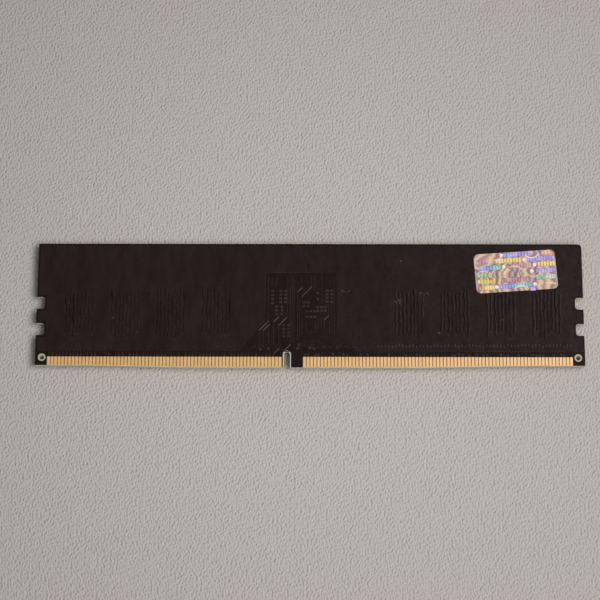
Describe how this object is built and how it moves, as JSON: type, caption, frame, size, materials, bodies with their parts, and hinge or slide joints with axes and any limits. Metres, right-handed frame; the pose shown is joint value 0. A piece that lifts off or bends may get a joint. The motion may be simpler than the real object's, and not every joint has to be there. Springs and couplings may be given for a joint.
{
  "type": "memory module",
  "caption": "Long flat circuit board with a keyed gold contact edge, latch notches in both ends, memory packages on one face and a bare face with a foil sticker on the other.",
  "frame": {"origin": "under the centre of the board, at the level of the memory packages' outer faces, on which the module lies", "axes": "+X along the module's length, to the right as its bare back face is seen with the contacts at the bottom; +Y from the contact edge to the top edge; +Z out of the back face"},
  "size_m": [0.1334, 0.0312, 0.0026],
  "materials": {
    "laminate": "bare glass-epoxy laminate, routed edge",
    "copper": "bare copper foil",
    "solder_mask": "satin black solder mask",
    "gold": "gold-plated copper, satin",
    "mould_compound": "matt moulded epoxy",
    "package_laminate": "thin package laminate, sawn edge",
    "silicon": "ground silicon",
    "solder": "reflowed lead-free solder",
    "tinned_terminal": "matt tin plating",
    "resistor_ceramic": "ceramic with a black overcoat",
    "capacitor_ceramic": "fired brown ceramic",
    "hologram_foil": "embossed metallised film with rainbow colours"
  },
  "bodies": {
    "root": {"laminate_front": "laminate", "laminate_inner": "laminate", "laminate_back": "laminate", "ground_plane": "copper", "power_plane": "copper", "solder_mask_front": "solder_mask", "solder_mask_back": "solder_mask", "contacts_front_left": "gold", "contacts_front_right": "gold", "contacts_back_left": "gold", "contacts_back_right": "gold", "dram_1_mould": "mould_compound", "dram_1_substrate": "package_laminate", "dram_1_die": "silicon", "dram_1_solder_balls": "solder", "dram_2_mould": "mould_compound", "dram_2_substrate": "package_laminate", "dram_2_die": "silicon", "dram_2_solder_balls": "solder", "dram_3_mould": "mould_compound", "dram_3_substrate": "package_laminate", "dram_3_die": "silicon", "dram_3_solder_balls": "solder", "dram_4_mould": "mould_compound", "dram_4_substrate": "package_laminate", "dram_4_die": "silicon", "dram_4_solder_balls": "solder", "dram_5_mould": "mould_compound", "dram_5_substrate": "package_laminate", "dram_5_die": "silicon", "dram_5_solder_balls": "solder", "dram_6_mould": "mould_compound", "dram_6_substrate": "package_laminate", "dram_6_die": "silicon", "dram_6_solder_balls": "solder", "dram_7_mould": "mould_compound", "dram_7_substrate": "package_laminate", "dram_7_die": "silicon", "dram_7_solder_balls": "solder", "dram_8_mould": "mould_compound", "dram_8_substrate": "package_laminate", "dram_8_die": "silicon", "dram_8_solder_balls": "solder", "spd_body": "mould_compound", "spd_terminals": "tinned_terminal", "resistor_array_bodies": "resistor_ceramic", "resistor_array_terminals": "tinned_terminal", "resistor_bodies": "resistor_ceramic", "resistor_terminals": "tinned_terminal", "capacitor_bodies": "capacitor_ceramic", "capacitor_terminals": "tinned_terminal", "bulk_capacitor_bodies": "capacitor_ceramic", "bulk_capacitor_terminals": "tinned_terminal", "hologram_sticker": "hologram_foil"}
  },
  "joints": []
}
